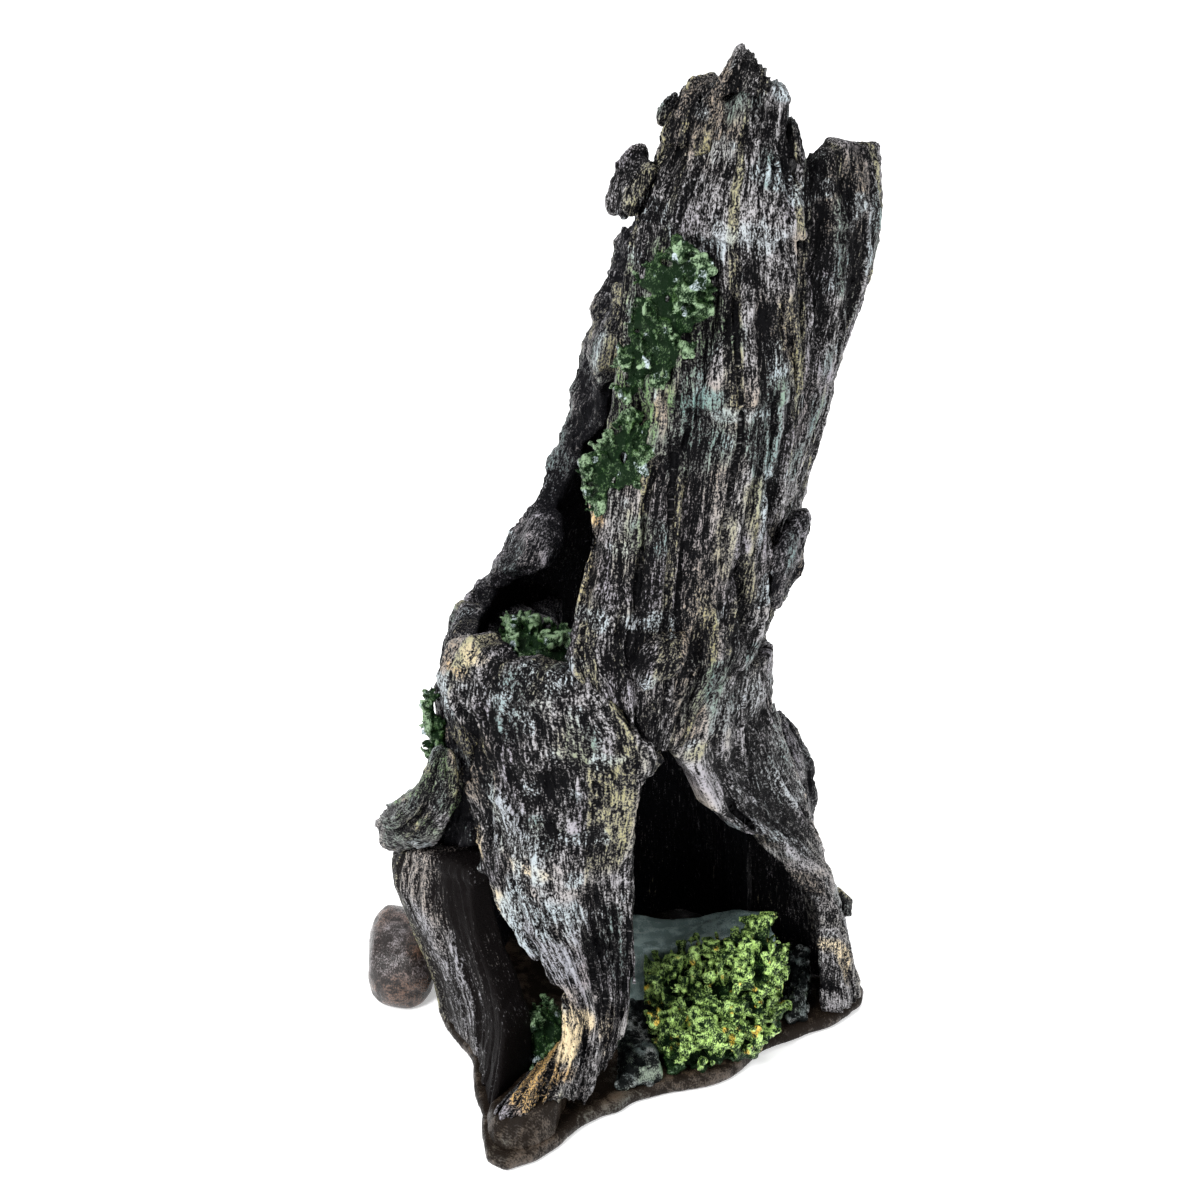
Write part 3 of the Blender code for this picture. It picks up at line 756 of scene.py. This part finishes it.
STUMP_PATCHES = (
    (0.55, 0.14, 15, 17, GREY, 0.9), (0.40, 0.45, 9, 16, GREY, 0.8), (0.07, 0.55, 2, 6, CREAM, 1.0),
    (0.17, 0.45, 3, 3, CREAM, 0.9), (0.07, 0.41, 3.4, 3.5, CREAM, 1.3),
    (0.08, 0.36, 3.4, 4, CREAM, 1.3), (0.09, 0.31, 3.6, 4, CREAM, 1.3),
    (0.14, 0.27, 3.6, 3.4, CREAM, 1.4), (0.26, 0.22, 3.6, 4.4, CREAM, 1.4),
    (0.40, 0.28, 2.4, 3, CREAM, 0.9), (0.50, 0.20, 3.4, 4, CREAM, 0.9),
    (0.35, 0.16, 4.4, 5, CREAM, 1.4), (0.31, 0.10, 4, 3, OCHRE, 1.2),
    (0.22, 0.07, 5, 2.6, OCHRE, 1.2), (0.75, 0.18, 1.6, 6, CREAM, 0.6),
    (0.10, 0.04, 3, 2, LILAC, 0.7), (0.70, 0.85, 1.8, 8, OLIVE, 0.5),
    (0.84, 0.75, 1.8, 6, OLIVE, 0.4), (0.53, 0.65, 3, 1.6, OLIVE, 0.5),
    (0.41, 0.55, 3.4, 1.6, CREAM, 0.8), (0.90, 0.81, 2, 4, OLIVE, 0.3),
    (0.96, 0.66, 1.2, 6, OLIVE, 0.4), (0.35, 0.42, 7, 12, PALE_BLUE, 0.9),
    (0.30, 0.62, 6, 8, PALE_BLUE, 0.6), (0.55, 0.33, 6, 9, LILAC, 0.7),
    (0.36, 0.90, 5, 3, PALE_BLUE, 0.4), (0.19, 0.96, 2, 2, CREAM, 0.5),
    (0.12, 0.92, 2.4, 1.2, OCHRE, 0.5),
)
RIGHT_GOUGES = (
    (0.03, 0.06, 0.02, 0.30, 1.3, 1.8), (0.55, 0.35, 0.35, 0.95, 1.8, 1.8),
    (0.22, 0.12, 0.66, 1.0, 1.8, 2.2),
)
RIGHT_LIPS = (
    (0.86, 0.0, 0.4, 1.0, 12),
)
RIGHT_PATCHES = (
    (0.01, 0.79, 3, 9, TAUPE, 0.7), (0.05, 0.5, 2, 12, OLIVE, 0.6),
    (0.02, 0.9, 4, 5, PALE_BLUE, 0.4), (0.08, 0.25, 2, 14, OLIVE, 0.5),
)
ARCH_GOUGES = (
    (0.45, 0.30, 0.35, 0.8, 1.0, 1.2), (0.25, 0.22, 0.15, 0.45, 0.9, 1.0),
)
ARCH_LIPS = (
    (0.88, 0.1, 0.5, 0.7, 6),
)
ARCH_PATCHES = (
    (0.25, 0.3, 12, 34, GREY, 0.7), (0.25, 0.8, 12, 20, GREY, 0.6),
    (0.02, 0.25, 1.3, 6, OCHRE, 1.0), (0.10, 0.13, 1.3, 7, CREAM, 0.9),
    (0.02, 0.42, 1.6, 9, CREAM, 0.9), (0.11, 0.86, 3, 3, OLIVE, 0.7),
    (0.39, 0.91, 4, 3, PALE_BLUE, 0.5), (0.02, 0.62, 1.6, 14, CREAM, 0.8),
    (0.13, 0.38, 3, 9, TAUPE, 0.8), (0.30, 0.6, 6, 14, PALE_BLUE, 0.45),
    (0.2, 0.75, 5, 10, LILAC, 0.6),
)

PATCH_COVER = 1.3          # how much more paint a patch carries, for each unit of its tint's brightness
SLAB_WIDTHS = {            # what a share of 1 stands for, across the grain
    "front_trunk_slab": 37.0,
    "left_buttress": 22.0,
    "right_trunk_slab": 37.0,
    "right_buttress": 24.0,
}


def slab_detail(name, gouges, lips, patches):
    """The extra relief and the paint of a bark slab with details of its own."""
    low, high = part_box(name)
    height = (high[2] - low[2]) / MM
    width = SLAB_WIDTHS[name]

    def extra(at):
        return gouged(at, width, gouges) + lipped(at, height, lips)

    def paint(at):
        colour = paint_bark(at)
        for tint, share in patch_shares(at, width, height, patches):
            colour = blended(colour, tint, share)
        return colour

    def shade(at):
        covers = [share * sum(tint) / 3 for tint, share in patch_shares(at, width, height, patches)]
        return -PATCH_COVER * np.max(covers, axis=0)

    return dict(extra=extra, paint=paint, shade=shade)


def paint_pale_bark(at):
    """Bark with cream paint on the parts that stand out most."""
    ragged = smoothstep(0.0, 0.4, space_noise(at, 3, 37))
    return blended(paint_bark(at), CREAM, ragged * smoothstep(0.5, 1.6, at.stand))


def paint_root(at):
    brown = smoothstep(0, 0.5, space_noise(at, 9, 40, tall=14))
    colour = blended(tinted(len(at.x), ROOT_GREY), TAUPE, 0.7 * brown)
    return blended(colour, OLIVE, smoothstep(0.50, 0.40, at.share))


def root_wall_shade(at):
    """Painted shade on the root wall: dark towards the cave, its foot, its top and, high up, its outer
    edge.
    """
    cave = smoothstep(0.0, 0.12, at.share - 0.78 + 0.14 * smoothstep(0.4, 0.9, at.up))
    outer = smoothstep(0.50, 0.42, at.share) * smoothstep(0.45, 0.8, at.up)
    return (0.9 * cave + 0.5 * outer + 0.3 * smoothstep(0.45, 0.2, at.up)
            + 0.6 * smoothstep(0.91, 0.96, at.up) - 0.05)


def root_wall_brow(at):
    """The root wall's top edge, drawn up under the shoulder."""
    return smoothstep(0.90, 0.97, at.up)


def shoulder_skirt(at):
    """The shoulder's lower edge, drawn down over the root wall."""
    return smoothstep(0.08, 0.02, at.up)


def shoulder_shade(at):
    """Painted shade: the hollow under the shoulder, beside the buttress, is left black."""
    return 0.9 * smoothstep(0.45, 0.7, at.share) * smoothstep(0.62, 0.5, at.up)


def paint_mossy_root(at):
    """Bark with a green bloom on its upper half."""
    ragged = smoothstep(-0.3, 0.3, space_noise(at, 3, 51, tall=5))
    return blended(paint_bark(at), LICHEN, ragged * smoothstep(0.3, 0.6, at.up))


def paint_base(at):
    return blended(tinted(len(at.x), BROWN), TEAL, 0.3 * smoothstep(0.1, 0.6, space_noise(at, 9, 41)))


def paint_grey_stone(at):
    grey = smoothstep(0, 0.6, space_noise(at, 5, 42))
    return blended(tinted(len(at.x), WET_GREY), GREY, 0.5 * grey)


def paint_brown_stone(at):
    grey = smoothstep(-0.1, 0.5, space_noise(at, 6, 43))
    return blended(tinted(len(at.x), RUSSET), DULL_GREY, grey)


def paint_gravel(at):
    tone = smoothstep(-0.4, 0.4, space_noise(at, 2.2, 44))
    colour = blended(tinted(len(at.x), GRIT_DARK), GRIT_PALE, tone)
    return blended(colour, MOSS_GREEN, 0.6 * smoothstep(0.1, 0.5, space_noise(at, 4, 45)))


def moss_paint(leaf, tip, tip_from, dots_and_glint, dots_and_glint_from, foot=0.0):
    """Moss whose leaves brighten to their tips, with dots of another colour, which on the dull trunk moss
    are painted highlights.

    Below the foot height its colours turn dull and dark, as painted shade.
    """
    def paint(at):
        reached = at.stand + 1.2 * space_noise(at, 4, 46)
        dots = space_noise(at, 1.6, 47, tall=2.2)
        colour = blended(tinted(len(at.x), leaf), tip, smoothstep(tip_from, tip_from + 1.6, reached))
        colour = blended(colour, dots_and_glint, smoothstep(dots_and_glint_from, dots_and_glint_from + 0.15, dots))
        # Painted shade near the ground, below the foot height.
        low = smoothstep(foot + 1.5, foot - 1.5, at.z + 3 * space_noise(at, 5, 50))
        return blended(colour, MOSS_SHADE, 0.85 * low)
    return paint


def build_slabs():
    bark = dict(finish=BARK, slot="bark", grain=wall_grain, coarse=coarse_bark, fine=fine_bark,
                inner_share=0.35)
    sculpt("front_trunk_slab", voxel=0.37, swell=0.4,
           crust=((0, 0.4), (0.25, 0.25), (0.45, 0.05), (0.7, 0.2), (0.88, 0.9)),
           **bark, **slab_detail("front_trunk_slab", FRONT_GOUGES, FRONT_LIPS, FRONT_PATCHES))
    sculpt("left_buttress", voxel=0.34, swell=0.4,
           crust=((0.1, 0.1), (0.4, 0.3), (0.65, 0.6), (0.85, 0.8)),
           **bark, **slab_detail("left_buttress", STUMP_GOUGES, STUMP_LIPS, STUMP_PATCHES))
    sculpt("right_trunk_slab", voxel=0.38, swell=-0.1, crust=((0, 0.25), (0.7, 0.15), (0.9, 0.6)),
           **bark, **slab_detail("right_trunk_slab", RIGHT_GOUGES, RIGHT_LIPS, RIGHT_PATCHES))
    sculpt("right_buttress", voxel=0.36, crust=((0, 0.1), (0.8, 0.1), (0.95, 0.5)),
           **bark, **slab_detail("right_buttress", ARCH_GOUGES, ARCH_LIPS, ARCH_PATCHES))


def rear_lumps(at):
    """The rear wall's knobbly left edge, with a waist above the pocket and a burr above that."""
    waist = np.exp(-((at.z - 137) / 7)**2)
    burr = np.exp(-((at.z - 155) / 5)**2)
    lumps = 1.3 * space_noise(at, 8, 48, tall=9) + 0.5 * ridged(space_noise(at, 5, 49, tall=6))
    edge = smoothstep(0.7, 0.9, at.share)
    return lumps * smoothstep(0.5, 0.8, at.share) + (2.0 * burr - 1.6 * waist) * edge


def build_dark_walls():
    # The walls at the back and under the shoulder take the darker bark, as painted shade.
    dark = dict(finish=SHADED_BARK, slot="dark_bark", grain=wall_grain, coarse=coarse_bark, fine=fine_bark,
                paint=paint_bark, inner_share=0.4)
    sculpt("rear_trunk_wall", voxel=0.7, crust=((0, 0.3), (0.6, 0.5), (1, 0.9)), extra=rear_lumps, **dark)
    sculpt("left_shoulder_wall", voxel=0.5, crust=((0, 0.2), (1, 0.5)), swell=0.5, extra=shoulder_skirt,
           shade=shoulder_shade, **dark)


def build_smooth():
    smooth = dict(finish=SMOOTH_BASE, slot="smooth_root", grain=lump_grain, coarse=coarse_smooth,
                  fine=fine_smooth, paint=paint_base)
    sculpt("left_root_wall", SMOOTH_ROOT, "smooth_root", wall_grain, coarse_root, fine_root, paint_root,
           voxel=0.42, rounds=2, swell=0.4, extra=root_wall_brow, shade=root_wall_shade)
    sculpt("toe_block", voxel=0.45, swell=0.7, **smooth)
    sculpt("base_plate", voxel=0.7, swell=0.0, **smooth)


def build_roots_and_knots():
    bark = dict(finish=BARK, slot="bark", coarse=coarse_bark, fine=fine_bark, paint=paint_bark)
    # The rear roots, burl, rear knot and ledge take the darker bark, as painted shade.
    dark = dict(bark, finish=SHADED_BARK, slot="dark_bark")
    sculpt("twisted_root", grain=root_grain, voxel=0.4, crust=((0, 0.1), (1, 0.1)), swell=0.6,
           **dict(bark, paint=paint_mossy_root))
    for name in ("rear_right_root", "rear_left_root", "rear_centre_root"):
        sculpt(name, grain=root_grain, crust=((0, 0.4), (1, 0.4)), swell=0.6, **dark)
    for name in ("hood_knot", "arch_spur"):
        sculpt(name, grain=lump_grain, crust=((0, 0.5), (1, 0.5)), swell=0.7, voxel=0.4,
               **dict(bark, paint=paint_pale_bark))
    for name in ("left_edge_knob", "crown_knob", "crown_spike"):
        sculpt(name, grain=lump_grain, crust=((0, 0.8), (1, 0.8)), swell=0.3, voxel=0.36, **bark)
    for name, swell in (("right_burl", 0.1), ("rear_knot", 0.7)):
        sculpt(name, grain=lump_grain, crust=((0, 1), (1, 1)), swell=swell, voxel=0.42, **dark)
    sculpt("planting_ledge", grain=lump_grain, crust=((0, 0.5), (1, 0.5)), swell=0.2, voxel=0.7, **dark)


def build_stones():
    smooth = dict(grain=lump_grain, coarse=coarse_smooth, fine=fine_smooth)
    sculpt("doorstep_rock", GREY_STONE, "grey_stone", paint=paint_grey_stone, rounds=3, voxel=0.5,
           **smooth)
    sculpt("side_stone", BROWN_STONE, "brown_stone", paint=paint_brown_stone, rounds=4, voxel=0.5,
           swell=0.9, **smooth)
    for name, seed in (("gravel_left", 1), ("gravel_right", 2)):
        sculpt(name, GRIT, "gravel", paint=paint_gravel, voxel=0.35, swell=0.1,
               studs=pebbly(1.25, 0.75, seed), **smooth)


def build_moss():
    moss = dict(finish=MOSS, slot="moss", grain=lump_grain, coarse=coarse_moss, fine=fine_moss)
    bright = moss_paint(MOSS_BRIGHT, MOSS_TIP, 0.5, MOSS_YELLOW, 0.56, foot=GROUND + 5)
    # The dull moss's pale-blue dots are painted highlights.
    dull = moss_paint(MOSS_GREEN, MOSS_BLUE, 0.0, PALE_BLUE, 0.5)
    sculpt("doorway_moss", paint=bright, swell=0.2, voxel=0.33,
           studs=leafy(1.65, (2.9, 0.95, 0.5), 0.8, 3), **moss)
    for name, seed in (("upper_trunk_moss", 4), ("lower_trunk_moss", 5), ("shoulder_moss", 6)):
        sculpt(name, paint=dull, swell=-0.2, voxel=0.26,
               studs=leafy(0.8, (1.0, 0.42, 0.3), 0.3, seed), **moss)
    for name, seed in (("ledge_moss", 7), ("cave_moss", 8)):
        sculpt(name, paint=dull, swell=-0.2, voxel=0.28,
               studs=leafy(1.0, (1.2, 0.5, 0.34), 0.7, seed), **moss)


# ---------------------------------------------------------------- stage

FLOOR_SIZE = 100.0         # metres, like everything else on the stage
FLOOR_GAP = 0.0002         # below the ornament, so the two never share a plane
FLOOR_WHITE = (0.86, 0.86, 0.86)
FLOOR_GLOW = 0.4
SKY = (0.97, 0.98, 1.0)
SKY_LIGHT, SKY_SEEN = 0.6, 0.95        # its strength as a light, and as the backdrop
AIM_HEIGHT = 0.1           # where the lamps point, above the middle of the base
LAMPS = (                  # name, place, size, power
    ("key", (-0.5, -0.6, 0.75), 0.35, 12.0),
    ("fill", (0.7, -0.5, 0.4), 0.6, 4.0),
    ("top", (0.1, 0.2, 0.95), 0.5, 6.0),
)
CAMERA_PLACE = (-0.0035, -0.4212, 0.3179)
CAMERA_DIP = 27            # degrees below level
CAMERA_LENS, CAMERA_SENSOR = 71.58, 36.0


def build_floor():
    """A white floor that glows a little, so that it looks as white as the sky."""
    bpy.ops.mesh.primitive_plane_add(size=FLOOR_SIZE, location=(0, 0, CAD_BOX[0][2] - FLOOR_GAP))
    floor = bpy.context.object
    floor.name = "floor"
    white = bpy.data.materials.new("floor")
    white.use_nodes = True
    shader = white.node_tree.nodes["Principled BSDF"]
    shader.inputs["Base Color"].default_value = (*FLOOR_WHITE, 1.0)
    shader.inputs["Roughness"].default_value = 0.7
    shader.inputs["Emission Color"].default_value = (1, 1, 1, 1)
    shader.inputs["Emission Strength"].default_value = FLOOR_GLOW
    floor.data.materials.append(white)
    floor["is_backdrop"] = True


def build_lamp(name, place, size, power):
    """A soft square lamp aimed at the middle of the ornament."""
    data = bpy.data.lights.new(name, "AREA")
    data.size = size
    data.energy = power
    lamp = bpy.data.objects.new(name, data)
    lamp.location = place
    across, ahead, down = place[0], place[1], place[2] - AIM_HEIGHT
    tilt = math.atan2(math.hypot(across, ahead), down)
    turn = math.atan2(-ahead, -across) - math.pi / 2
    lamp.rotation_euler = (tilt, 0, turn)
    bpy.context.scene.collection.objects.link(lamp)


def build_light():
    """A soft sky that looks as white as the floor, and three lamps, brightest from the front left."""
    world = bpy.data.worlds.new("studio")
    world.use_nodes = True
    tree = world.node_tree
    sky = tree.nodes["Background"]
    sky.inputs["Color"].default_value = (*SKY, 1.0)
    seen = shader_node(tree, "ShaderNodeLightPath").outputs["Is Camera Ray"]
    tree.links.new(mapped(tree, seen, 0, 1, SKY_LIGHT, SKY_SEEN), sky.inputs["Strength"])
    bpy.context.scene.world = world
    bpy.context.scene.view_settings.view_transform = "Standard"
    for lamp in LAMPS:
        build_lamp(*lamp)


def build_camera():
    """Looks down at the doorway side from in front."""
    data = bpy.data.cameras.new("camera")
    data.sensor_width = CAMERA_SENSOR
    data.lens = CAMERA_LENS
    camera = bpy.data.objects.new("camera", data)
    camera.location = CAMERA_PLACE
    camera.rotation_euler = (math.radians(90 - CAMERA_DIP), 0, 0)
    bpy.context.scene.collection.objects.link(camera)
    bpy.context.scene.camera = camera


build_camera()
build_floor()
build_light()
build_slabs()
build_dark_walls()
build_smooth()
build_roots_and_knots()
build_stones()
build_moss()

size = {"cad": [list(corner) for corner in CAD_BOX], "visual": [list(corner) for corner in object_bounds()]}
